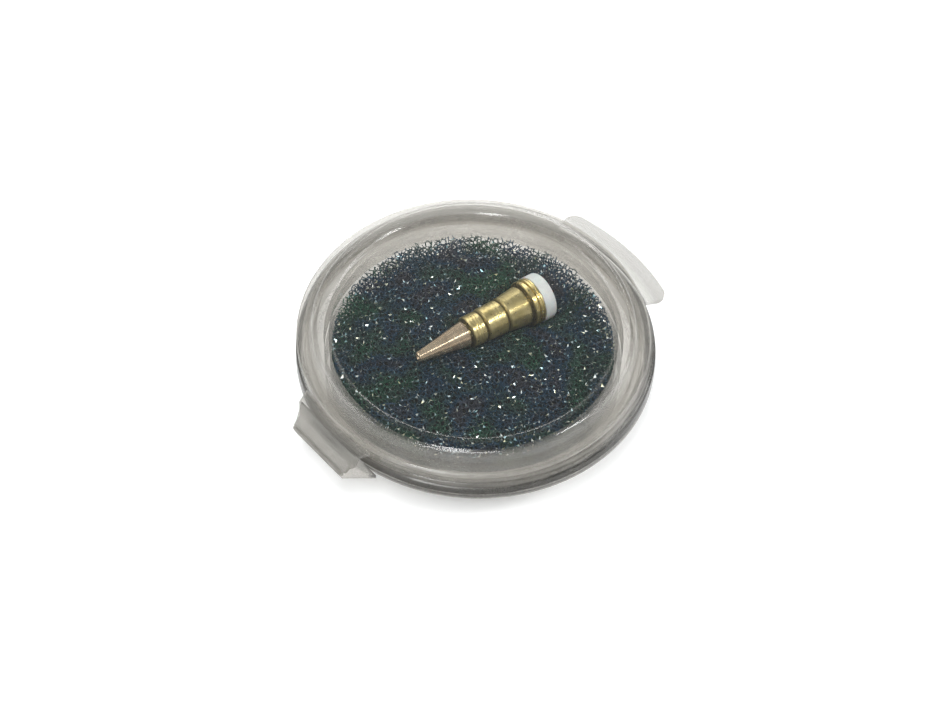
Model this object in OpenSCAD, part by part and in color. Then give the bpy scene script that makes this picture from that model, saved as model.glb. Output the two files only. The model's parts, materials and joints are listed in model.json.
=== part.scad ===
// Small turned-brass oil burner nozzle, packed on a foam pad in a clear round
// case with a hinged snap lid. Millimetres, +Z up. The origin is the centre of
// the case's underside, with the hinge towards -X and the thumb tab towards +X.

/* [Case] */
// Overall height of the closed case
case_h = 10.5; // [10.3:0.1:11]
// Outer radius of the base flange
flange_r = 20.4; // [20.3:0.05:20.5]
// How far the flange and the lid's brim sit towards the tab
brim_shift = 0.4; // [0.3:0.05:0.45]
// Height of the flange's underside above the table
flange_z = 4.7; // [4.6:0.05:4.8]
// Thickness of the flange
flange_t = 0.6; // [0.5:0.05:0.7]
// Outer radius of the cup's wall at its lip
cup_lip_r = 16.9; // [16.8:0.05:17]
// Outer radius of the cup's wall at the floor
cup_foot_r = 16.75; // [16.7:0.05:16.8]
// Height of the cup's lip above the table
cup_h = 8.5; // [8.2:0.1:8.8]
// Wall thickness of the moulding
wall = 0.6; // [0.55:0.05:0.6]
// Outer radius of the ring that the lid snaps over
snap_r = 18.95; // [18.8:0.05:19]

/* [Lid] */
// Gap between the flange and the closed lid
parting_gap = 0.1; // [0.08:0.01:0.15]
// Radius of the recessed panel in the lid's top
panel_r = 16.3; // [16:0.1:16.5]
// Depth of the recess
panel_drop = 0.15; // [0.1:0.05:0.2]
// Radius of the raised crown's top edge
crown_r = 18.2; // [18:0.1:18.3]
// Radius where the crown's wall meets the rim
crown_foot_r = 18.65; // [18.5:0.05:18.7]
// Height of the rim above the table
rim_z = 8.8; // [8.7:0.05:8.9]
// Outer radius of the rim's upper edge
rim_r = 19.95; // [19.9:0.05:20]
// Inner radius of the lid's skirt
skirt_bore_r = 19.3; // [19.3:0.05:19.35]

/* [Hinge and tab] */
// Distance from the case's axis to the fold line
fold_x = 22.4; // [22.3:0.1:22.6]
// Length of the fold
fold_len = 8.5; // [8:0.5:9]
// Radius of the film's bead on the fold line
film_r = 0.3; // [0.25:0.05:0.3]
// Outer radius of the thumb tab
tab_r = 23.8; // [23.5:0.1:24]
// Half of the tab's angle, in degrees
tab_half = 21; // [18:1:22]
// Droop of the tab below level, in degrees
tab_droop = 10; // [6:1:11]

/* [Foam pad] */
// Radius of the foam disc
foam_r = 16.1; // [15.9:0.05:16.1]
// Height of the foam's top above the table
foam_top = 6.95; // [6.7:0.05:7.1]

/* [Nozzle] */
// Overall length, from the tip to the seal's rear face
nozzle_l = 17.5; // [17.3:0.1:17.8]
// Radius of the tip's end
tip_r = 0.58; // [0.55:0.01:0.62]
// Radius of the cone's base
cone_r = 1.52; // [1.45:0.01:1.55]
// Length of the cone
cone_l = 6.4; // [6.3:0.05:6.5]
// Radius of the front land
land1_r = 1.88; // [1.85:0.01:1.92]
// Radius of the middle land
land2_r = 2.02; // [1.98:0.01:2.05]
// Radius of the rear land at its rear edge
land3_r = 2.35; // [2.3:0.01:2.4]
// Outer radius of the collar
collar_r = 2.72; // [2.68:0.01:2.75]
// Outer radius of the seal ring
seal_r = 2.8; // [2.76:0.01:2.8]
// Radius of the spray orifice
orifice_r = 0.15; // [0.1:0.01:0.2]
// Clearance around the parts inside the nozzle
fit_gap = 0.02; // [0.01:0.01:0.03]

/* [Hidden] */
$fn = 96;
over = 1;

clear_plastic = [0.80, 0.80, 0.77, 0.55];
film_plastic = [0.62, 0.62, 0.59, 0.8];
foam_black = [0.12, 0.13, 0.14];
tip_brass = [0.74, 0.60, 0.42];
body_brass = [0.72, 0.58, 0.28];
bronze = [0.58, 0.40, 0.22];
steel = [0.66, 0.66, 0.68];
ptfe_white = [0.92, 0.92, 0.90];

// Heights of the case's levels
flange_top = flange_z + flange_t;
lid_z = flange_top + parting_gap;
fold_z = flange_top + parting_gap / 2;
panel_top = case_h - panel_drop;
panel_under = panel_top - wall + 0.05;

// Snap ring
snap_top = lid_z + 1.7;
snap_bead_r = 0.12;
foot_chamfer = 0.4;

// Skirt: a plain wall, with a brim of three shallow ridges around its outside
skirt_r = 19.75;
under_rim = rim_z - wall;
brim_z = 8.3;
ridge_z = [7.75, 7.1, 6.45];
ridge_r = [19.8, 20.0, 20.2];
ridge_step = 0.15;

// Crown: the round at its top edge, and how many degrees its wall leans inwards
crown_round = 1.0;
crown_lean = 17.8;

// Hinge leaves
leaf_root_x = -19.5;
leaf_root_half = 6.6;
leaf_mid_x = -21.6;
leaf_mid_half = 4.9;
film_run_gap = 0.06;
leaf_end_x = -fold_x - 0.1;

// The lid's leaf as [x, z]: down its outside, then back up its inside
leaf_outside = [[leaf_root_x, 8.3], [-21.1, 8.25], [-21.45, 6.6], [leaf_end_x, lid_z + 0.25]];
leaf_inside = [[leaf_end_x, lid_z], [-21.7, lid_z], [-20.9, 6.5], [-20.6, 7.7], [leaf_root_x, 7.75]];
// and as [x, half of its width] from its root to past its end
leaf_widths = [[leaf_root_x, 5.6], [-21.1, 4.9], [-21.45, 4.4], [-fold_x - over, fold_len / 2]];

// Thumb tab
tab_t = 0.5;
tab_root_r = 20.5;
tab_corner_r = 1.5;

// Nozzle in the case: the tip's end, and how the axis turns and droops from it
tip_at = [-6.6, 1.87, 7.56];
nozzle_yaw = -5.0;
nozzle_droop = 2.5;
pocket_gap = 0.12;

// Stations along the nozzle, from the tip
neck_l = 0.3;
land1_at = cone_l + neck_l;
notch1_at = 8.6;
notch2_at = 11.45;
land3_end = 14.35;
collar_at = 14.6;
seal_at = 15.95;
barrel_end = 16.4;
spigot_end = 8.6;
spigot_r = 1.2;
barrel_bore_r = 1.45;
rear_spigot_r = 1.95;
tip_bore_r = 0.75;
chamber_at = 3.2;
throat_at = 1.4;
screw_at = 6.9;
screw_l = 1.4;
strainer_at = 14.9;
strainer_l = 0.8;
clip_l = 0.3;

module turned() {
    translate(tip_at) rotate([0, nozzle_droop, nozzle_yaw]) rotate([0, 90, 0]) children();
}

module ring_profile(r_in, r_out, z0, z1) {
    translate([r_in, z0]) square([r_out - r_in, z1 - z0]);
}

// One V groove in a turned surface of radius r
module v_groove(r, at, half, depth) {
    rotate_extrude() polygon([
        [r + over, at - half - half * over / depth],
        [r - depth, at],
        [r + over, at + half + half * over / depth]
    ]);
}

module case_base() {
    color(clear_plastic) difference() {
        union() {
            rotate_extrude() cup_outline();
            base_flange();
            base_leaf();
        }
        fold_bore(film_r + 0.01);
    }
}

module cup_outline() {
    floor_r = cup_foot_r - wall;
    polygon([
        [0, 0], [cup_foot_r - foot_chamfer, 0], [cup_foot_r, foot_chamfer],
        [cup_lip_r, cup_h - 0.15], [cup_lip_r - 0.15, cup_h],
        [cup_lip_r - wall + 0.15, cup_h], [cup_lip_r - wall, cup_h - 0.15],
        [floor_r, wall], [0, wall]
    ]);
    ring_profile(snap_r - wall, snap_r, flange_z + 0.1, snap_top);
    translate([snap_r, snap_top - 2 * snap_bead_r]) circle(snap_bead_r);
}

module base_flange() {
    translate([0, 0, flange_z]) linear_extrude(flange_t) difference() {
        translate([brim_shift, 0]) circle(flange_r);
        circle(cup_foot_r - wall / 2);
    }
}

module base_leaf() {
    translate([0, 0, flange_z]) linear_extrude(flange_t) polygon([
        [leaf_root_x, leaf_root_half], [leaf_mid_x, leaf_mid_half],
        [-fold_x, fold_len / 2], [-fold_x, -fold_len / 2],
        [leaf_mid_x, -leaf_mid_half], [leaf_root_x, -leaf_root_half]
    ]);
}

// A cylinder along the fold line, longer than the leaves are wide
module fold_bore(r) {
    translate([-fold_x, 0, fold_z]) rotate([90, 0, 0])
        cylinder(h = 2 * leaf_root_half, r = r, center = true);
}

module case_lid() {
    color(clear_plastic) difference() {
        union() {
            rotate_extrude() lid_outline();
            translate([brim_shift, 0, 0]) rotate_extrude() brim_outline();
            lid_leaf();
            thumb_tab();
        }
        translate([0, 0, lid_z - over]) cylinder(h = under_rim - lid_z + over, r = skirt_bore_r);
        fold_bore(film_r + film_run_gap);
    }
}

module lid_outline() {
    polygon(concat(
        [
            [0, panel_under], [0, panel_top], [panel_r - 0.2, panel_top],
            [panel_r, case_h]
        ],
        crown_arc(),
        [
            [crown_foot_r, rim_z],
            [rim_r - 0.2, rim_z], [rim_r, rim_z - 0.2], [rim_r, brim_z],
            [skirt_r, ridge_z[0]], [skirt_r, lid_z], [skirt_bore_r, lid_z],
            [skirt_bore_r, under_rim], [crown_foot_r - wall, under_rim],
            [crown_r - wall, panel_under]
        ]
    ));
}

// The round from the top to the crown's wall, which leans in from its foot
function crown_arc() =
    let (
        z = case_h - crown_round,
        r = crown_foot_r - (crown_round + (z - rim_z) * sin(crown_lean)) / cos(crown_lean)
    )
    [for (i = [0:8]) let (a = 90 - i * (90 - crown_lean) / 8)
        [r + crown_round * cos(a), z + crown_round * sin(a)]];

// The ridges step outwards from one to the next, down to the brim's edge
module brim_outline() {
    inner_r = skirt_bore_r - brim_shift;
    polygon(concat(
        [[inner_r, lid_z], [inner_r, under_rim - 0.1], [ridge_r[0] - ridge_step, under_rim - 0.1]],
        [for (i = [0:2]) each [
            [ridge_r[i], ridge_z[i]], [ridge_r[i] + ridge_step, ridge_z[i] - ridge_step]
        ]],
        [[flange_r, lid_z + 0.1], [flange_r - 0.1, lid_z]]
    ));
}

// The lid's leaf drops from the rim to the fold line and is open underneath
module lid_leaf() {
    intersection() {
        rotate([90, 0, 0]) linear_extrude(2 * leaf_root_half, center = true)
            polygon(concat(leaf_outside, leaf_inside));
        linear_extrude(case_h) polygon(concat(
            leaf_widths, [for (i = [len(leaf_widths) - 1:-1:0]) [leaf_widths[i][0], -leaf_widths[i][1]]]
        ));
    }
}

module thumb_tab() {
    translate([tab_root_r, 0, lid_z]) rotate([0, tab_droop, 0]) translate([-tab_root_r, 0, 0])
        linear_extrude(tab_t) difference() {
            union() {
                sector(tab_r, corner_angle());
                sector(tab_r - tab_corner_r, tab_half);
                for (side = [-1, 1]) rotate(side * corner_angle())
                    translate([tab_r - tab_corner_r, 0]) circle(tab_corner_r);
            }
            circle(tab_root_r);
        }
}

// Where a corner's circle touches both the tab's side and its outer arc
function corner_angle() = tab_half - asin(tab_corner_r / (tab_r - tab_corner_r));

module sector(r, half) {
    reach = 2 * r;
    intersection() {
        circle(r);
        polygon([[0, 0], [reach, -reach * tan(half)], [reach, reach * tan(half)]]);
    }
}

module hinge_film() {
    color(film_plastic) translate([-fold_x, 0, fold_z]) rotate([90, 0, 0])
        cylinder(h = fold_len, r = film_r, center = true);
}

module foam_pad() {
    color(foam_black) difference() {
        rotate_extrude() polygon([
            [0, wall], [foam_r, wall], [foam_r, foam_top - 0.3], [foam_r - 0.3, foam_top],
            [0, foam_top]
        ]);
        turned() nozzle_pocket();
    }
}

// The nozzle's outline with clearance, open upwards
module nozzle_pocket() {
    g = pocket_gap;
    outline = [
        [-2 * g, 0], [-2 * g, tip_r + g], [cone_l - g, cone_r + g], [land1_at - g, land2_r + g],
        [notch2_at, land2_r + g], [collar_at - g, land3_r + g], [collar_at - g, seal_r + g],
        [nozzle_l + 2 * g, seal_r + g], [nozzle_l + 2 * g, 0]
    ];
    rotate_extrude() polygon([for (p = outline) [p[1], p[0]]]);
    rotate([0, -90, 0]) linear_extrude(foam_top) polygon(concat(
        [for (p = outline) [p[0], p[1]]],
        [for (i = [len(outline) - 1:-1:0]) [outline[i][0], -outline[i][1]]]
    ));
}

module nozzle_tip() {
    color(tip_brass) turned() rotate_extrude() polygon([
        [orifice_r + 0.12, 0], [tip_r - 0.1, 0], [tip_r, 0.1], [cone_r, cone_l - 0.05],
        [cone_r - 0.05, cone_l], [spigot_r - fit_gap, cone_l],
        [spigot_r - fit_gap, spigot_end], [tip_bore_r, spigot_end],
        [tip_bore_r, chamber_at], [orifice_r + 0.1, throat_at],
        [orifice_r, throat_at - 0.1], [orifice_r, 0.15]
    ]);
}

module nozzle_barrel() {
    color(body_brass) turned() difference() {
        rotate_extrude() polygon([
            [spigot_r, cone_l], [cone_r - 0.15, cone_l], [cone_r - 0.15, land1_at],
            [land1_r - 0.12, land1_at], [land1_r, land1_at + 0.12],
            [land1_r, notch1_at - 0.28], [land1_r - 0.28, notch1_at],
            [land2_r - 0.05, notch1_at + 0.28], [land2_r, notch2_at - 0.28],
            [land2_r - 0.3, notch2_at], [land2_r + 0.04, notch2_at + 0.28],
            [land3_r, land3_end - 0.15], [land3_r - 0.1, land3_end],
            [land3_r - 0.25, land3_end], [land3_r - 0.25, collar_at],
            [rear_spigot_r - fit_gap, collar_at],
            [rear_spigot_r - fit_gap, barrel_end - 0.1],
            [rear_spigot_r - fit_gap - 0.1, barrel_end],
            [barrel_bore_r, barrel_end], [barrel_bore_r, spigot_end], [spigot_r, spigot_end]
        ]);
        for (i = [1:3]) v_groove(land1_r, land1_at + 0.12 + i * 0.36, 0.05, 0.05);
        for (i = [1:4]) v_groove(land2_r, notch1_at + 0.28 + i * 0.45, 0.05, 0.05);
    }
}

module nozzle_collar() {
    groove_at = (collar_at + seal_at) / 2 - 0.1;
    color(body_brass) turned() difference() {
        rotate_extrude() polygon([
            [rear_spigot_r, collar_at], [collar_r - 0.1, collar_at],
            [collar_r, collar_at + 0.1], [collar_r, groove_at - 0.1],
            [collar_r - 0.22, groove_at - 0.02], [collar_r - 0.22, groove_at + 0.12],
            [collar_r, groove_at + 0.2], [collar_r, seal_at - 0.08],
            [collar_r - 0.08, seal_at], [rear_spigot_r, seal_at]
        ]);
        v_groove(collar_r, seal_at - 0.28, 0.06, 0.06);
    }
}

module seal_ring() {
    seal_round = 0.4;
    color(ptfe_white) turned() rotate_extrude() {
        ring_profile(rear_spigot_r, seal_r - seal_round, seal_at, nozzle_l);
        ring_profile(rear_spigot_r, seal_r, seal_at, nozzle_l - seal_round);
        translate([seal_r - seal_round, nozzle_l - seal_round]) circle(seal_round);
    }
}

module swirl_distributor() {
    r = tip_bore_r - fit_gap;
    slot_w = 0.25;
    color(bronze) turned() difference() {
        rotate_extrude() polygon([
            [0, throat_at + 0.45], [0.22, throat_at + 0.45], [r, chamber_at + 0.1],
            [r, screw_at], [0, screw_at]
        ]);
        for (i = [0:2]) rotate(i * 120) translate([r - 0.18, -slot_w / 2, 0])
            cube([1, slot_w, screw_at + over]);
    }
}

module lock_screw() {
    slot_w = 0.25;
    slot_deep = 0.35;
    color(steel) turned() difference() {
        rotate_extrude() ring_profile(0.3, tip_bore_r - fit_gap, screw_at, screw_at + screw_l);
        translate([-over, -slot_w / 2, screw_at + screw_l - slot_deep]) cube([2 * over, slot_w, over]);
    }
}

module strainer_disc() {
    color(bronze) turned() translate([0, 0, strainer_at])
        cylinder(h = strainer_l, r = barrel_bore_r - fit_gap);
}

module strainer_clip() {
    clip_at = strainer_at + strainer_l;
    color(steel) turned() difference() {
        rotate_extrude() ring_profile(1.05, barrel_bore_r - fit_gap, clip_at, clip_at + clip_l);
        translate([0, -0.2, clip_at - over]) cube([2, 0.4, clip_l + 2 * over]);
    }
}

case_base();
case_lid();
hinge_film();
foam_pad();
nozzle_tip();
nozzle_barrel();
nozzle_collar();
seal_ring();
swirl_distributor();
lock_screw();
strainer_disc();
strainer_clip();
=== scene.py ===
"""Looks for a turned brass nozzle on a foam disc in a clear hinged case.

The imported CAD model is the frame. Metres, +Z up, hinge towards -X, thumb tab
towards +X. The case and the nozzle are CAD nodes with better materials; the
foam and the hinge's film are made here in place of their plain CAD solids.
"""

import json
import math

import bpy
import numpy as np
from mathutils import Matrix, Vector

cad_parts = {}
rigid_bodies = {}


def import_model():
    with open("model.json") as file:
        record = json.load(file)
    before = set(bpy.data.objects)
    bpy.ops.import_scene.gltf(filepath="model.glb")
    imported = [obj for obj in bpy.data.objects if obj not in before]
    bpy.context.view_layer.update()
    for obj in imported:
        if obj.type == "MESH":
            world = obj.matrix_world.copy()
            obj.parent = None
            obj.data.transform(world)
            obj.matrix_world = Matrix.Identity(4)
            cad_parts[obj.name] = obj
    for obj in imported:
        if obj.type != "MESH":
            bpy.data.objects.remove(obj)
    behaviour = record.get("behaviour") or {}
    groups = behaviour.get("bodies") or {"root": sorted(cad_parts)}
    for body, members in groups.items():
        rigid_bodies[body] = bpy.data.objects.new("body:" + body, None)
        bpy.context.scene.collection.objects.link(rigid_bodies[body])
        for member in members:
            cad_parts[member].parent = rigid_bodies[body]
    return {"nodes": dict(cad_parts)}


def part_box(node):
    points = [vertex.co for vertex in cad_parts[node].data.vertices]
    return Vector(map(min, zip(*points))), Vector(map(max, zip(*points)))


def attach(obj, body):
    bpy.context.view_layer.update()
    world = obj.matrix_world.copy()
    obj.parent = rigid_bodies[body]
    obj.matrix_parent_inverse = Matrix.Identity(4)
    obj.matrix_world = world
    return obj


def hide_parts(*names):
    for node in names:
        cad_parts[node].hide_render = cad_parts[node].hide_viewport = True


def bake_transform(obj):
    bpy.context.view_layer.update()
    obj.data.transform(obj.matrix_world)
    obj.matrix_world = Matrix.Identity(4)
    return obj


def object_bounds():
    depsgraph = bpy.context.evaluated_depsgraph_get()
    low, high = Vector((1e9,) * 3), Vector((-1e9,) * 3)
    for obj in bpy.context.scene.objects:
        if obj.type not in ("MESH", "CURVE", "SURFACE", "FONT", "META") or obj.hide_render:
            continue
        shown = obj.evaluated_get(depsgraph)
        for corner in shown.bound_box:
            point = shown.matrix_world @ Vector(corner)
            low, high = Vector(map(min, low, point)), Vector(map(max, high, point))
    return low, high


MM = 0.001

# Camera: elevation, turn about the vertical and roll in degrees
VIEW_ELEVATION = 51.7
VIEW_TURN = 41.9
VIEW_ROLL = 2.26
VIEW_DISTANCE = 0.35
VIEW_LENS = 117.0
VIEW_TARGET = Vector((0.25, -0.55, 5.0)) * MM

# Lights: direction towards the light (right, away from the camera, up), distance, width and
# depth in metres, and watts
LIGHTS = {
    "key": ((0.634, -0.166, 0.754), 0.5, 0.08, 0.10, 0.6),
    "strip": ((-0.10, -0.36, 0.93), 0.5, 0.09, 0.30, 1.5),
    "left": ((-0.85, -0.05, 0.45), 0.6, 0.40, 0.40, 1.8),
    "right": ((0.90, 0.10, 0.40), 0.6, 0.40, 0.40, 1.8),
    "front": ((-0.35, -0.80, 0.50), 0.6, 0.50, 0.40, 0.25),
    "gleam": ((-0.12, -0.72, 0.67), 0.6, 0.45, 0.14, 2.2),
    "back": ((0.10, 0.90, 0.42), 0.6, 0.40, 0.40, 2.4),
    "streak": ((0.42, -0.30, 0.84), 0.5, 0.05, 0.05, 0.08),
}
# Lights that fall on one piece only
ALONE = {"gleam": "case_lid", "streak": "nozzle_tip"}
WORLD_COLOR = (0.84, 0.95, 1.0)
WORLD_STRENGTH = 0.2

# Floor: half its side in metres, how far below the case it lies, how much it glows for the
# camera, and the radii in millimetres between which the painted shadow under the case fades out
FLOOR_HALF = 3.0
FLOOR_GAP = 0.02
FLOOR_GLOW = 0.22
FLOOR_REACH = 40.0
PAINTED_SHADOW_FROM, PAINTED_SHADOW_TO = 13.0, 17.5

# Plastic: the radius at which the stops of haze and tone end, and the share of the painted shade by
# height at each radius, both in millimetres; what an edge-on wall lets through; and the share of
# light that a face mirrors when seen straight on
PLASTIC_REACH = 24.0
SKIRT_PAINTED_SHADE = ((19.3, 0.0), (19.5, 1.0), (20.85, 1.0), (21.1, 0.0))
EDGE_ON = (0.60, 0.59, 0.57)
MIRROR_STRAIGHT_ON = 0.035
WARM_MILK = (0.80, 0.78, 0.74)

# Grooves along the nozzle, in millimetres from its tip, darkened with painted shade
GROOVES = ((6.4, 6.7), (8.52, 8.68), (11.37, 11.53), (14.4, 14.6))
GROOVE_FADE = 0.12
GROOVE_SHADE = 0.85
NOZZLE_REACH = 18.0

# Foam, in millimetres: size of a cell, half-width of a strut, how far a corner strays, and the
# height of the slow waves that bend the rows
CELL = 1.0
STRUT_R = 0.06
LATTICE_TILT = (0.41, 0.29, 0.55)
VERTEX_JITTER = 0.06
SWIRL = 0.16
SWIRL_WAVES = ((1.1, 1.7, 0.9), (1.5, 0.8, 1.3), (0.9, 1.3, 1.6))

# How far the dark core stays inside the pad, and its bevel
CORE_SIDE = 0.8
CORE_TOP = 0.75
CORE_BEVEL_SIDE = 3.4
CORE_BEVEL_DEPTH = 4.4
CORE_AROUND = 160
CORE_TOP_RINGS = 56
CORE_BEVEL_RINGS = 8
CORE_SIDE_RINGS = 6
CORE_FLOOR_RINGS = 8
CORE_CENTRE_R = 0.02

# Scraps of cell wall: the share of pairs of struts that have one, and how deep they are shown
MEMBRANE_SHARE = 0.5
MEMBRANE_DEPTH = 0.7

# Dent under the nozzle: where the foam leaves the nozzle's side, as a share of its radius, how
# steeply it rises from there, how softly it meets the top, and how deep the pressing reaches
CONTACT_SHARE = 0.785
DENT_RISE = 0.9
DENT_SOFTNESS = 0.5
PRESS_REACH = 4.0

# Film bead: faces around and along, how much it thins at its ends, and the crease outside
FILM_AROUND, FILM_ALONG = 28, 72
FILM_END_THIN = 0.35
FILM_CREASE = 0.10

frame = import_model()
cad_low, cad_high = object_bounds()
nodes = frame["nodes"]
rng = np.random.default_rng(7)


# ---------------------------------------------------------------- camera, lights, floor


def in_view_frame(direction):
    """A direction given as (right, away from the camera, up), turned into the model's frame."""
    return Matrix.Rotation(math.radians(-VIEW_TURN), 3, "Z") @ Vector(direction)


def make_camera():
    elevation, roll = math.radians(VIEW_ELEVATION), math.radians(VIEW_ROLL)
    forward = Vector((0, math.cos(elevation), -math.sin(elevation)))
    right = Vector((1, 0, 0))
    up = right.cross(forward)
    right, up = (
        right * math.cos(roll) + up * math.sin(roll),
        up * math.cos(roll) - right * math.sin(roll),
    )
    place = VIEW_TARGET - VIEW_DISTANCE * forward
    columns = [in_view_frame(v) for v in (right, up, -forward, place)]
    data = bpy.data.cameras.new("camera")
    data.lens = VIEW_LENS
    data.clip_start = 0.01
    camera = bpy.data.objects.new("camera", data)
    camera.matrix_world = placed(columns)
    bpy.context.scene.collection.objects.link(camera)
    bpy.context.scene.camera = camera


def make_lights():
    for name, (direction, distance, width, depth, watts) in LIGHTS.items():
        data = bpy.data.lights.new(name, "AREA")
        data.shape = "RECTANGLE"
        data.size, data.size_y = width, depth
        data.energy = watts
        light = bpy.data.objects.new(name, data)
        towards = in_view_frame(direction).normalized()
        across = in_view_frame((0, 1, 0)).cross(towards).normalized()
        along = towards.cross(across)
        columns = [across, along, towards, towards * distance]
        light.matrix_world = placed(columns)
        bpy.context.scene.collection.objects.link(light)
        if name in ALONE:
            lit = bpy.data.collections.new(name + "_lights")
            lit.objects.link(bpy.data.objects[ALONE[name]])
            light.light_linking.receiver_collection = lit


def placed(columns):
    """A world matrix from its three axes and its place."""
    return Matrix([[c[i] for c in columns] for i in range(3)] + [[0, 0, 0, 1]])


def make_world():
    world = bpy.data.worlds.new("world")
    world.use_nodes = True
    background = world.node_tree.nodes["Background"]
    background.inputs["Color"].default_value = (*WORLD_COLOR, 1)
    background.inputs["Strength"].default_value = WORLD_STRENGTH
    bpy.context.scene.world = world
    scene = bpy.context.scene
    scene.view_settings.view_transform = "Standard"
    scene.cycles.transparent_max_bounces = 32


def make_floor():
    mesh = bpy.data.meshes.new("floor")
    half = FLOOR_HALF
    mesh.from_pydata(
        [(-half, -half, 0), (half, -half, 0), (half, half, 0), (-half, half, 0)],
        [],
        [(0, 1, 2, 3)],
    )
    floor = bpy.data.objects.new("floor", mesh)
    floor.location.z = cad_low[2] - FLOOR_GAP * MM
    bpy.context.scene.collection.objects.link(floor)
    m = Shader("floor_paper")
    grain = m.add(
        "ShaderNodeTexNoise", {"Vector": m.place(), "Scale": 900.0, "Detail": 3.0}
    )
    paper = m.ramp(
        grain["Fac"], [(0.3, (0.90, 0.90, 0.90)), (0.7, (0.94, 0.94, 0.94))]
    )
    away = m.math("MULTIPLY", m.radius(), 1.0 / FLOOR_REACH)
    near, far = PAINTED_SHADOW_FROM / FLOOR_REACH, PAINTED_SHADOW_TO / FLOOR_REACH
    # painted shadow under the case: the floor darkens within these radii, and its glow for the
    # camera fades out there as well
    contact = m.ramp(away, [(near, (0.30, 0.29, 0.28)), (far, (1, 1, 1))])
    glow = m.ramp(away, [(near, 0.0), (far, FLOOR_GLOW)])
    glow = m.math("MULTIPLY", glow, m.add("ShaderNodeLightPath")["Is Camera Ray"])
    shader = m.principled(
        m.mix_color(1.0, paper, contact, "MULTIPLY"),
        0.85,
        Emission_Color=(1.0, 1.0, 1.0),
        Emission_Strength=glow,
    )
    m.finish(shader)
    floor.data.materials.append(m.material)


# ---------------------------------------------------------------- materials


class Shader:
    """A material under construction. A value given to a socket is a number, a colour or
    another socket."""

    def __init__(self, name):
        self.material = bpy.data.materials.new(name)
        self.material.use_nodes = True
        self.tree = self.material.node_tree
        self.tree.nodes.clear()

    def add(self, kind, inputs=None, **settings):
        node = self.tree.nodes.new(kind)
        for key, value in settings.items():
            setattr(node, key, value)
        for key, value in (inputs or {}).items():
            socket = node.inputs[key]
            if isinstance(value, bpy.types.NodeSocket):
                self.tree.links.new(value, socket)
            elif isinstance(value, tuple) and len(value) == 3 and socket.type == "RGBA":
                socket.default_value = (*value, 1)
            else:
                socket.default_value = value
        return node.outputs

    def place(self, stretch=(1, 1, 1)):
        """Object coordinates in millimetres, stretched."""
        point = self.add("ShaderNodeTexCoord")["Object"]
        return self.add(
            "ShaderNodeVectorMath",
            {0: point, 1: tuple(s / MM for s in stretch)},
            operation="MULTIPLY",
        )["Vector"]

    def math(self, operation, a, b=0.0, clamp=False):
        return self.add(
            "ShaderNodeMath", {0: a, 1: b}, operation=operation, use_clamp=clamp
        )["Value"]

    def ramp(self, factor, stops):
        node = self.tree.nodes.new("ShaderNodeValToRGB")
        band = node.color_ramp
        while len(band.elements) < len(stops):
            band.elements.new(0.5)
        for element, (position, color) in zip(band.elements, stops):
            element.position = position
            if isinstance(color, (int, float)):
                color = (color, color, color)
            element.color = (*color, 1)
        self.tree.links.new(factor, node.inputs["Fac"])
        return node.outputs["Color"]

    def mix_color(self, factor, a, b, blend="MIX"):
        return self.add(
            "ShaderNodeMix",
            {0: factor, 6: a, 7: b},
            data_type="RGBA",
            blend_type=blend,
        )[2]

    def noise(self, scale, detail):
        """Noise with scale features to the millimetre."""
        return self.add(
            "ShaderNodeTexNoise",
            {"Vector": self.place(), "Scale": scale, "Detail": detail},
        )["Fac"]

    def bump(self, height, depth, strength):
        """Relief of the given depth in millimetres."""
        return self.add(
            "ShaderNodeBump",
            {"Height": height, "Distance": depth * MM, "Strength": strength},
        )["Normal"]

    def principled(self, color, roughness, normal=None, **sockets):
        inputs = {"Base Color": color, "Roughness": roughness}
        if normal is not None:
            inputs["Normal"] = normal
        inputs.update({k.replace("_", " "): v for k, v in sockets.items()})
        return self.add("ShaderNodeBsdfPrincipled", inputs)["BSDF"]

    def mix_shader(self, factor, a, b):
        return self.add("ShaderNodeMixShader", {0: factor, 1: a, 2: b})[0]

    def radius(self):
        """Distance from the case's axis, in millimetres."""
        flat = self.place(stretch=(1, 1, 0))
        return self.add("ShaderNodeVectorMath", {0: flat}, operation="LENGTH")["Value"]

    def height(self):
        """Height above the table, in millimetres."""
        return self.add("ShaderNodeSeparateXYZ", {0: self.place()})["Z"]

    def finish(self, shader):
        output = self.tree.nodes.new("ShaderNodeOutputMaterial")
        self.tree.links.new(shader, output.inputs["Surface"])
        return self.material


def plastic_stops(stops):
    """Stops at distances in millimetres, turned into stops of a ramp that ends at PLASTIC_REACH."""
    return [(at / PLASTIC_REACH, value) for at, value in stops]


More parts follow.
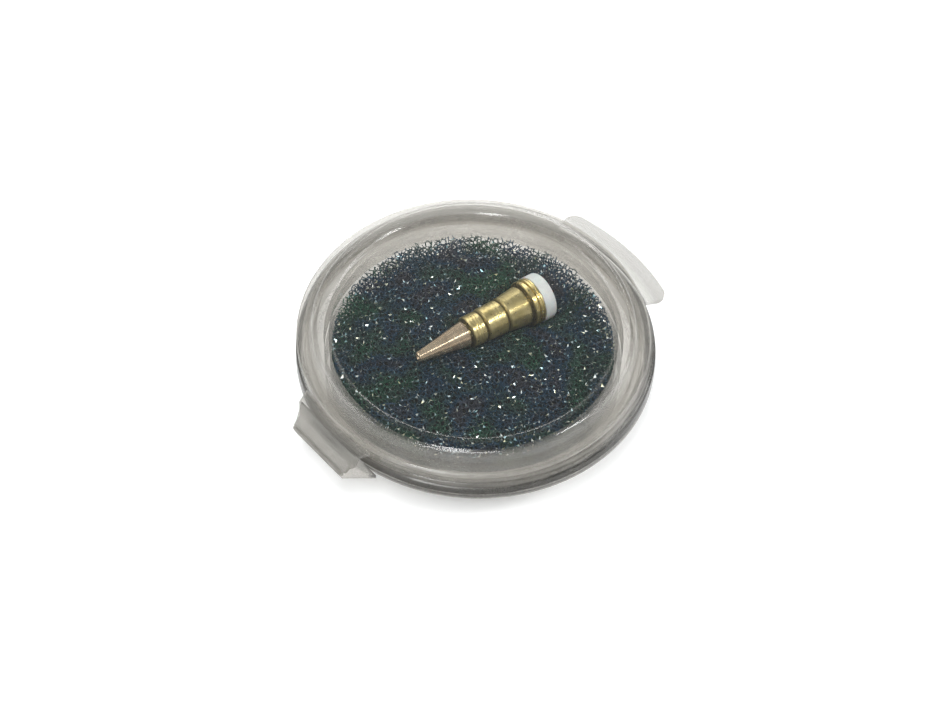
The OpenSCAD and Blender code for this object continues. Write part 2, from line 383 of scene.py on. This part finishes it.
def clear_plastic(name, haze, tones, frost, painted_shade=((0.0, 1.0), (12.0, 1.0))):
    """Polypropylene. haze and tones give the milkiness and what one face lets through, as stops of
    (distance from the case's axis in millimetres, value); the shade stops paint shade on the skirt,
    darkening both by height. A wall lets less through where it is seen edge on, since the way
    through it is longer."""
    m = Shader(name)
    radius = m.math("DIVIDE", m.radius(), PLASTIC_REACH)
    milkiness = m.ramp(radius, plastic_stops(haze))
    cloud = m.ramp(m.noise(0.35, 4.0), [(0.3, 0.8), (0.7, 1.2)])
    speck = m.ramp(m.noise(6.0, 2.0), [(0.35, 0.9), (0.75, 1.15)])
    milkiness = m.math("MULTIPLY", m.math("MULTIPLY", milkiness, cloud), speck)
    facing = m.add("ShaderNodeLayerWeight", {"Blend": 0.5})["Facing"]
    edge_on = m.math("POWER", facing, 3.0)
    milkiness = m.math("ADD", milkiness, m.math("MULTIPLY", edge_on, 0.3), clamp=True)
    clear = m.ramp(radius, plastic_stops(tones))
    clear = m.mix_color(edge_on, clear, EDGE_ON)
    ripple = m.bump(m.noise(0.4, 1.0), 0.04, 0.05)
    # painted shade: on the skirt the plastic's milk and what it lets through darken by height
    up = m.math("DIVIDE", m.height(), PLASTIC_REACH)
    painted_shade_share = m.ramp(radius, plastic_stops(SKIRT_PAINTED_SHADE))
    tone = m.mix_color(painted_shade_share, (1.0, 1.0, 1.0), m.ramp(up, plastic_stops(painted_shade)))
    frost = m.mix_color(1.0, frost, tone, "MULTIPLY")
    clear = m.mix_color(1.0, clear, tone, "MULTIPLY")
    milk = m.principled(frost, 0.4, ripple, Specular_IOR_Level=0.3)
    glow = m.add("ShaderNodeBsdfTranslucent", {"Color": frost})[0]
    through = m.add("ShaderNodeBsdfTransparent", {"Color": clear})[0]
    body = m.mix_shader(milkiness, through, m.mix_shader(0.85, milk, glow))
    shine = m.add("ShaderNodeBsdfGlossy", {"Roughness": 0.15, "Normal": ripple})[0]
    return m.finish(m.mix_shader(mirror_share(m, ripple), body, shine))


def mirror_share(m, normal):
    """Schlick's share of light that a polished face mirrors, alike on both of its sides."""
    edge = m.add("ShaderNodeLayerWeight", {"Blend": 0.5, "Normal": normal})["Facing"]
    rise = m.math("MULTIPLY", m.math("POWER", edge, 5.0), 1 - MIRROR_STRAIGHT_ON)
    return m.math("ADD", rise, MIRROR_STRAIGHT_ON)


def turned_metal(name, color, dark, roughness, lathe_depth):
    """Turned brass: fine rings along the nozzle's axis, a little tarnish in broad patches, and
    painted shade that darkens the grooves."""
    m = Shader(name)
    along = m.add("ShaderNodeSeparateXYZ", {0: axis_coordinates(m)})["X"]
    rings = m.add(
        "ShaderNodeTexNoise",
        {"W": m.math("MULTIPLY", along, 5.0), "Scale": 1.0, "Detail": 1.0},
        noise_dimensions="1D",
    )["Fac"]
    patches = m.ramp(m.noise(0.9, 4.0), [(0.35, 0.0), (0.7, 1.0)])
    base = m.mix_color(patches, color, dark)
    base = m.mix_color(m.ramp(rings, [(0.35, 0.35), (0.6, 0.0)]), base, dark)
    stops = [(0.0, 0.0)]
    for start, end in GROOVES:
        stops += [
            (start - GROOVE_FADE, 0.0),
            (start, GROOVE_SHADE),
            (end, GROOVE_SHADE),
            (end + GROOVE_FADE, 0.0),
        ]
    stops = [(at / NOZZLE_REACH, share) for at, share in stops]
    # painted shade in the grooves: the base colour turns much darker there
    groove_shade = m.ramp(m.math("DIVIDE", along, NOZZLE_REACH), stops)
    base = m.mix_color(groove_shade, base, tuple(0.3 * value for value in dark))
    rough = m.ramp(m.noise(1.5, 1.0), [(0.3, roughness - 0.03), (0.75, roughness + 0.06)])
    normal = m.bump(rings, lathe_depth, 0.4)
    return m.finish(m.principled(base, rough, normal, Metallic=0.85))


def axis_coordinates(m):
    """Object coordinates in millimetres, with X running along the nozzle from its tip."""
    start, direction = nozzle_axis()
    turn = direction.to_track_quat("X", "Z").to_matrix().inverted().to_euler()
    point = m.add("ShaderNodeTexCoord")["Object"]
    local = m.add(
        "ShaderNodeVectorMath", {0: point, 1: tuple(start)}, operation="SUBTRACT"
    )["Vector"]
    turned = m.add(
        "ShaderNodeVectorRotate",
        {"Vector": local, "Rotation": turn},
        rotation_type="EULER_XYZ",
    )["Vector"]
    return m.add(
        "ShaderNodeVectorMath", {0: turned, 1: (1 / MM,) * 3}, operation="MULTIPLY"
    )["Vector"]


def foam_color(m):
    """Charcoal with faint green, blue and violet patches a few millimetres across."""
    patch = m.noise(0.26, 1.5)
    return m.ramp(
        patch,
        [
            (0.34, (0.018, 0.070, 0.043)),
            (0.44, (0.027, 0.053, 0.049)),
            (0.54, (0.016, 0.048, 0.086)),
            (0.64, (0.038, 0.042, 0.056)),
        ],
    )


def foam_strut_material():
    m = Shader("foam_struts")
    normal = m.bump(m.noise(7.0, 2.0), 0.03, 0.5)
    return m.finish(m.principled(foam_color(m), 0.45, normal, Specular_IOR_Level=0.2))


def foam_core_material():
    m = Shader("foam_core")
    cells = m.add(
        "ShaderNodeTexVoronoi",
        {"Vector": m.place(), "Scale": 1.6, "Randomness": 0.9},
        feature="DISTANCE_TO_EDGE",
    )["Distance"]
    walls = m.ramp(cells, [(0.04, 1.0), (0.2, 0.0)])
    # the cells' middles are near black, painted shade deep in the pores; the walls keep the foam's
    # colour
    color = m.mix_color(walls, (0.002, 0.003, 0.003), foam_color(m))
    normal = m.bump(walls, 0.25, 1.0)
    return m.finish(m.principled(color, 0.6, normal, Specular_IOR_Level=0.15))


def membrane_material():
    m = Shader("foam_membranes")
    tint = m.ramp(
        m.noise(1.7, 1.0),
        [(0.35, (0.40, 0.66, 0.74)), (0.5, (0.72, 0.75, 0.76)), (0.7, (0.78, 0.78, 0.50))],
    )
    return m.finish(m.principled(tint, 0.28, Metallic=0.8))


def seal_material():
    m = Shader("seal_white")
    color = m.ramp(m.noise(1.2, 3.0), [(0.3, (0.57, 0.60, 0.60)), (0.7, (0.66, 0.68, 0.67))])
    normal = m.bump(m.noise(8.0, 3.0), 0.01, 0.4)
    return m.finish(
        m.principled(color, 0.5, normal, Subsurface_Weight=0.25, Subsurface_Scale=0.5 * MM)
    )


def plain_metal(name, color, roughness):
    m = Shader(name)
    tone = m.ramp(m.noise(2.5, 4.0), [(0.3, 0.75), (0.7, 1.0)])
    base = m.mix_color(1.0, color, tone, "MULTIPLY")
    rough = m.ramp(m.noise(5.0, 3.0), [(0.3, roughness - 0.05), (0.7, roughness + 0.1)])
    normal = m.bump(m.noise(12.0, 2.0), 0.01, 0.4)
    return m.finish(m.principled(base, rough, normal, Metallic=1.0))


def paint(material, *names):
    for name in names:
        obj = nodes[name]
        obj.data.materials.clear()
        obj.data.materials.append(material)


# ---------------------------------------------------------------- the nozzle, as the frame has it


def node_points(name):
    return np.array([v.co for v in nodes[name].data.vertices])


def nozzle_axis():
    """The tip's end and the direction towards the rear. A turned piece's middle lies on the
    axis."""
    tip, seal = node_points("nozzle_tip"), node_points("seal_ring")
    direction = seal.mean(0) - tip.mean(0)
    direction /= np.linalg.norm(direction)
    along = (tip - tip.mean(0)) @ direction
    return Vector(tip.mean(0) + along.min() * direction), Vector(direction)


def nozzle_profile(step=0.25):
    """Stations along the axis and the nozzle's outer radius at each, in millimetres."""
    start, direction = (np.array(v) for v in nozzle_axis())
    outer = ("nozzle_tip", "nozzle_barrel", "nozzle_collar", "seal_ring")
    away = (np.concatenate([node_points(n) for n in outer]) - start) / MM
    along = away @ direction
    radius = np.linalg.norm(away - along[:, None] * direction, axis=1)
    stations = np.arange(0, along.max() + step, step)
    reach = 0.8
    found = [radius[abs(along - s) < reach].max() for s in stations]
    return stations, np.array(found)


# ---------------------------------------------------------------- foam


def smooth_min(a, b, width):
    blend = np.clip(0.5 + 0.5 * (b - a) / width, 0, 1)
    return b * (1 - blend) + a * blend - width * blend * (1 - blend)


def foam_surface(x, y, top):
    """Height in millimetres of the foam's surface, which the nozzle presses down."""
    start, direction = (np.array(v) for v in nozzle_axis())
    start = start / MM
    stations, radii = nozzle_profile()
    flat = direction[:2] / np.linalg.norm(direction[:2])
    slope = direction[2] / np.linalg.norm(direction[:2])
    along = (x - start[0]) * flat[0] + (y - start[1]) * flat[1]
    held = np.clip(along, 0, stations[-1])
    beside = np.hypot(
        x - start[0] - held * flat[0], y - start[1] - held * flat[1]
    )
    radius = np.interp(held, stations, radii)
    axis_z = start[2] + held * slope
    contact = CONTACT_SHARE * radius
    under = axis_z - np.sqrt(np.maximum(radius**2 - np.minimum(beside, contact) ** 2, 0))
    side = under + DENT_RISE * np.maximum(beside - contact, 0)
    return smooth_min(side, np.full_like(side, top), DENT_SOFTNESS)


def press(points, top):
    """Moves foam points down with the surface above them, less and less with depth."""
    sunk = top - foam_surface(points[:, 0], points[:, 1], top)
    depth = top - points[:, 2]
    out = points.copy()
    out[:, 2] -= sunk * np.clip(1 - depth / PRESS_REACH, 0, 1)
    return out


def kelvin_lattice(low, high):
    """Corners and edges of a packing of 14-sided foam cells that covers a box, in millimetres."""
    unit = CELL / 4
    turn = np.array(Matrix(
        Matrix.Rotation(LATTICE_TILT[0], 3, "X")
        @ Matrix.Rotation(LATTICE_TILT[1], 3, "Y")
        @ Matrix.Rotation(LATTICE_TILT[2], 3, "Z")
    ))
    middle = (low + high) / 2
    half = np.abs(turn) @ ((high - low) / 2) / unit
    n = np.ceil(half).astype(int) + 4
    shape = 2 * n + 1
    grid = np.stack(np.meshgrid(*[np.arange(k) for k in shape], indexing="ij"), -1)
    grid = grid.reshape(-1, 3)
    kind = grid % 4
    odd = kind % 2 == 1
    corner = (odd.sum(1) == 1) & ((kind == 0).sum(1) == 1) & ((kind == 2).sum(1) == 1)
    corners = grid[corner]
    index = np.full(shape, -1)
    index[tuple(corners.T)] = np.arange(len(corners))
    kinds = corners % 4
    rows = np.arange(len(corners))
    odd_axis = (kinds % 2 == 1).argmax(1)
    edges = []
    for level in (0, 2):
        other_axis = (kinds == level).argmax(1)
        towards = np.where((kinds[rows, odd_axis] - level) % 4 == 1, -1, 1)
        for side in (-1, 1):
            step = np.zeros_like(corners)
            step[rows, odd_axis] = towards
            step[rows, other_axis] = side
            near = corners + step
            fits = ((near >= 0) & (near < shape)).all(1)
            other = np.full(len(corners), -1)
            other[fits] = index[tuple(near[fits].T)]
            keep = other > rows
            edges.append(np.stack([rows[keep], other[keep]], 1))
    points = (corners - n) * unit
    points = points + rng.normal(0, VERTEX_JITTER, points.shape)
    for axis, (fx, fy, fz) in enumerate(SWIRL_WAVES):
        wave = np.sin(fx * points[:, 1]) + np.sin(fy * points[:, 2]) + np.sin(fz * points[:, 0])
        points[:, axis] += SWIRL * wave / 1.7
    return points @ turn + middle, np.concatenate(edges)


def foam_sizes():
    low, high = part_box("foam_pad")
    return high.x / MM, low.z / MM, high.z / MM


def core_radius(z, radius, top):
    rise = np.clip((z - (top - CORE_BEVEL_DEPTH)) / (CORE_BEVEL_DEPTH - CORE_TOP), 0, 1)
    return radius - CORE_SIDE - (CORE_BEVEL_SIDE - CORE_SIDE) * rise


def depth_in_pad(points, radius, bottom, top):
    """How far inside the pad each point is, in millimetres, with a slightly ragged cut edge."""
    ragged = 0.12 * np.sin(2.1 * points[:, 0]) * np.sin(1.7 * points[:, 1] + 1.0)
    across = np.hypot(points[:, 0], points[:, 1])
    side = radius - 0.1 - across + np.minimum(ragged, 0.0)
    return np.minimum.reduce([side, top - points[:, 2], points[:, 2] - bottom])


def depth_in_core(points, radius, top):
    across = np.hypot(points[:, 0], points[:, 1])
    side = core_radius(points[:, 2], radius, top) - across
    return np.minimum(side, top - CORE_TOP - points[:, 2])


def mesh_object(name, points, faces, material):
    mesh = bpy.data.meshes.new(name)
    faces = faces.tolist() if isinstance(faces, np.ndarray) else faces
    mesh.from_pydata(points.tolist(), [], faces)
    mesh.materials.append(material)
    obj = bpy.data.objects.new(name, mesh)
    bpy.context.scene.collection.objects.link(obj)
    return obj


def strut_mesh(name, starts, ends, material):
    """Three-sided struts between pairs of points given in millimetres."""
    line = ends - starts
    length = np.linalg.norm(line, axis=1, keepdims=True)
    line = line / length
    helper = np.where(abs(line[:, 2:3]) < 0.8, [[0.0, 0.0, 1.0]], [[1.0, 0.0, 0.0]])
    u = np.cross(line, helper)
    u /= np.linalg.norm(u, axis=1, keepdims=True)
    v = np.cross(line, u)
    spin = rng.uniform(0, 2 * math.pi, len(starts))
    width = STRUT_R * rng.uniform(0.8, 1.3, len(starts))[:, None]
    rings = []
    for centre in (starts, ends):
        for corner in range(3):
            angle = spin + corner * 2 * math.pi / 3
            offset = u * np.cos(angle)[:, None] + v * np.sin(angle)[:, None]
            rings.append(centre + width * offset)
    points = np.stack(rings, 1).reshape(-1, 3) * MM
    quads = np.array([[0, 1, 4, 3], [1, 2, 5, 4], [2, 0, 3, 5]])
    faces = (np.arange(len(starts))[:, None, None] * 6 + quads[None]).reshape(-1, 4)
    return mesh_object(name, points, faces, material)


def foam_lattice():
    """The open cells that show: a skin over the pad's top, its bevelled edge and its side."""
    radius, bottom, top = foam_sizes()
    low = np.array([-radius, -radius, bottom])
    high = np.array([radius, radius, top])
    points, edges = kelvin_lattice(low, high)
    inside = depth_in_pad(points, radius, bottom, top)
    core = depth_in_core(points, radius, top)
    a, b = edges.T
    keep = (np.maximum(inside[a], inside[b]) > 0) & (np.minimum(core[a], core[b]) < 0.15)
    a, b = a[keep], b[keep]
    swap = inside[a] < inside[b]
    a, b = np.where(swap, b, a), np.where(swap, a, b)
    share = np.clip(inside[a] / (inside[a] - inside[b] + 1e-9), 0, 1)
    share = np.where(inside[b] > 0, 1.0, share)
    starts = points[a]
    ends = starts + (points[b] - starts) * share[:, None]
    middle = (starts + ends) / 2
    rim = np.hypot(middle[:, 0], middle[:, 1]) > radius - CORE_BEVEL_SIDE
    low_down = middle[:, 2] < top - CORE_BEVEL_DEPTH
    starts, ends = press(starts, top), press(ends, top)
    material = foam_strut_material()
    parts = {
        "foam_cells_top": ~rim & ~low_down,
        "foam_cells_edge": rim & ~low_down,
        "foam_cells_side": low_down,
    }
    made = [
        strut_mesh(name, starts[chosen], ends[chosen], material)
        for name, chosen in parts.items()
    ]
    made.append(foam_membranes(points, a, b, inside, core, top))
    return made


def foam_membranes(points, a, b, inside, core, top):
    """Scraps of cell wall left between struts near the surface, which catch the light."""
    order = np.argsort(a, kind="stable")
    a, b = a[order], b[order]
    pair = (a[1:] == a[:-1]) & (inside[b[1:]] > 0) & (inside[b[:-1]] > 0)
    pair &= (core[a[1:]] < 0) & (top - points[a[1:], 2] < MEMBRANE_DEPTH)
    pair &= rng.random(len(pair)) < MEMBRANE_SHARE
    corners = [a[1:][pair], b[1:][pair], b[:-1][pair]]
    shown = press(points[np.stack(corners, 1).reshape(-1)], top) * MM
    faces = np.arange(len(shown)).reshape(-1, 3)
    return mesh_object("foam_membranes", shown, faces, membrane_material())


def foam_core():
    """The dark inside of the pad, one closed solid whose top follows the pressed surface."""
    radius, bottom, top = foam_sizes()
    rings = [(CORE_CENTRE_R, top - CORE_TOP)]
    top_r = radius - CORE_BEVEL_SIDE
    for k in range(1, CORE_TOP_RINGS + 1):
        rings.append((top_r * k / CORE_TOP_RINGS, top - CORE_TOP))
    for k in range(1, CORE_BEVEL_RINGS + 1):
        z = top - CORE_TOP - k / CORE_BEVEL_RINGS * (CORE_BEVEL_DEPTH - CORE_TOP)
        rings.append((float(core_radius(np.array(z), radius, top)), z))
    low_z, bevel_z = bottom + 0.05, top - CORE_BEVEL_DEPTH
    for k in range(1, CORE_SIDE_RINGS + 1):
        rings.append((radius - CORE_SIDE, bevel_z + k / CORE_SIDE_RINGS * (low_z - bevel_z)))
    for k in range(1, CORE_FLOOR_RINGS):
        rings.append(((radius - CORE_SIDE) * (1 - k / CORE_FLOOR_RINGS), low_z))
    rings.append((CORE_CENTRE_R, low_z))
    angles = np.arange(CORE_AROUND) * 2 * math.pi / CORE_AROUND
    points = np.array(
        [[r * math.cos(t), r * math.sin(t), z] for r, z in rings for t in angles]
    )
    lumps = 0.1 * np.sin(5.3 * points[:, 0] + 1) * np.sin(4.7 * points[:, 1]) * np.sin(
        4.1 * points[:, 2]
    )
    points[:, :2] *= (1 + lumps / radius)[:, None]
    points = press(points, top)
    faces = []
    for ring in range(len(rings) - 1):
        here, below = ring * CORE_AROUND, (ring + 1) * CORE_AROUND
        for k in range(CORE_AROUND):
            beside = (k + 1) % CORE_AROUND
            faces.append((here + k, below + k, below + beside, here + beside))
    last = (len(rings) - 1) * CORE_AROUND
    faces.append(tuple(range(CORE_AROUND)))
    faces.append(tuple(last + k for k in reversed(range(CORE_AROUND))))
    core = mesh_object("foam_core", points * MM, faces, foam_core_material())
    for polygon in core.data.polygons:
        polygon.use_smooth = True
    return core


def make_foam():
    core = foam_core()
    pieces = foam_lattice()
    for piece in [core, *pieces]:
        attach(piece, "base")
    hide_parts("foam_pad")


# ---------------------------------------------------------------- hinge


def make_hinge_film():
    """The film between the leaves: a bead, creased along its length and thinned at its ends."""
    low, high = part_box("hinge_film")
    radius = (high.z - low.z) / 2
    axis_x, axis_z = (low.x + high.x) / 2, (low.z + high.z) / 2
    points = []
    for i in range(FILM_ALONG + 1):
        y = low.y + (high.y - low.y) * i / FILM_ALONG
        end = min(i, FILM_ALONG - i) / FILM_ALONG
        swell = 1 - FILM_END_THIN * math.exp(-end * 30) + 0.03 * math.sin(i * 1.7)
        for k in range(FILM_AROUND):
            angle = 2 * math.pi * k / FILM_AROUND
            crease = FILM_CREASE * math.exp(-((math.sin((angle - math.pi) / 2) / 0.18) ** 2))
            r = radius * min(swell, 1.0) * (0.97 - crease)
            points.append((axis_x + r * math.cos(angle), y, axis_z + r * math.sin(angle)))
    faces = []
    for i in range(FILM_ALONG):
        here, further = i * FILM_AROUND, (i + 1) * FILM_AROUND
        for k in range(FILM_AROUND):
            beside = (k + 1) % FILM_AROUND
            faces.append((here + k, here + beside, further + beside, further + k))
    faces.append(tuple(reversed(range(FILM_AROUND))))
    faces.append(tuple(FILM_ALONG * FILM_AROUND + k for k in range(FILM_AROUND)))
    material = clear_plastic(
        "hinge_plastic",
        haze=[(20.0, 0.3), (22.0, 0.35)],
        tones=[(20.0, (0.75, 0.74, 0.72)), (22.0, (0.7, 0.69, 0.67))],
        frost=(0.62, 0.61, 0.58),
    )
    film = mesh_object("hinge_film_bead", np.array(points), faces, material)
    for polygon in film.data.polygons:
        polygon.use_smooth = len(polygon.vertices) == 4
    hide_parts("hinge_film")
    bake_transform(film)


# ---------------------------------------------------------------- all of it

make_camera()
make_lights()
make_world()
make_floor()

paint(
    clear_plastic(
        "lid_plastic",
        haze=[
            (15.9, 0.012),
            (16.15, 0.12),
            (16.4, 0.008),
            (17.9, 0.012),
            (18.1, 0.17),
            (19.0, 0.20),
            (19.8, 0.26),
            (19.9, 0.5),
            (20.0, 0.3),
            (21.2, 0.12),
        ],
        # past 21 mm, on the thumb tab and the hinge leaf, the darker tones are partly painted shade
        tones=[
            (18.0, (0.985, 0.982, 0.975)),
            (18.2, (0.96, 0.955, 0.94)),
            (18.5, (0.96, 0.955, 0.94)),
            (18.65, (0.82, 0.81, 0.79)),
            (18.8, (0.94, 0.935, 0.92)),
            (19.8, (0.94, 0.935, 0.92)),
            (19.92, (0.70, 0.69, 0.67)),
            (20.1, (0.92, 0.915, 0.90)),
            (21.2, (0.80, 0.795, 0.78)),
            (22.6, (0.64, 0.636, 0.62)),
        ],
        frost=WARM_MILK,
        # painted shade on the lid's skirt: darker towards its foot, with thin dark lines at its
        # ridges
        painted_shade=(
            (5.4, 0.36),
            (6.38, 0.50),
            (6.46, 0.32),
            (6.56, 0.56),
            (7.03, 0.68),
            (7.11, 0.42),
            (7.21, 0.74),
            (7.68, 0.84),
            (7.76, 0.50),
            (7.86, 0.95),
            (8.4, 1.0),
        ),
    ),
    "case_lid",
)
paint(
    clear_plastic(
        "base_plastic",
        haze=[(17.0, 0.06), (18.0, 0.30)],
        tones=[(16.0, (0.95, 0.945, 0.93)), (17.5, (0.91, 0.90, 0.885))],
        frost=WARM_MILK,
        # painted shade: a dark band round the flange's edge, just under the lid's skirt
        painted_shade=((4.75, 1.0), (4.85, 0.8), (5.0, 0.4), (5.25, 0.4), (5.29, 1.0)),
    ),
    "case_base",
)
paint(turned_metal("tip_brass", (0.88, 0.71, 0.51), (0.66, 0.49, 0.34), 0.20, 0.0012), "nozzle_tip")
paint(
    turned_metal("body_brass", (0.72, 0.61, 0.31), (0.46, 0.37, 0.15), 0.30, 0.003),
    "nozzle_barrel",
)
paint(
    turned_metal("collar_brass", (0.74, 0.62, 0.28), (0.40, 0.31, 0.12), 0.28, 0.004),
    "nozzle_collar",
)
paint(seal_material(), "seal_ring")
paint(plain_metal("bronze", (0.60, 0.38, 0.20), 0.35), "swirl_distributor", "strainer_disc")
paint(plain_metal("steel", (0.62, 0.62, 0.64), 0.28), "lock_screw", "strainer_clip")
make_foam()
make_hinge_film()

bpy.context.view_layer.update()
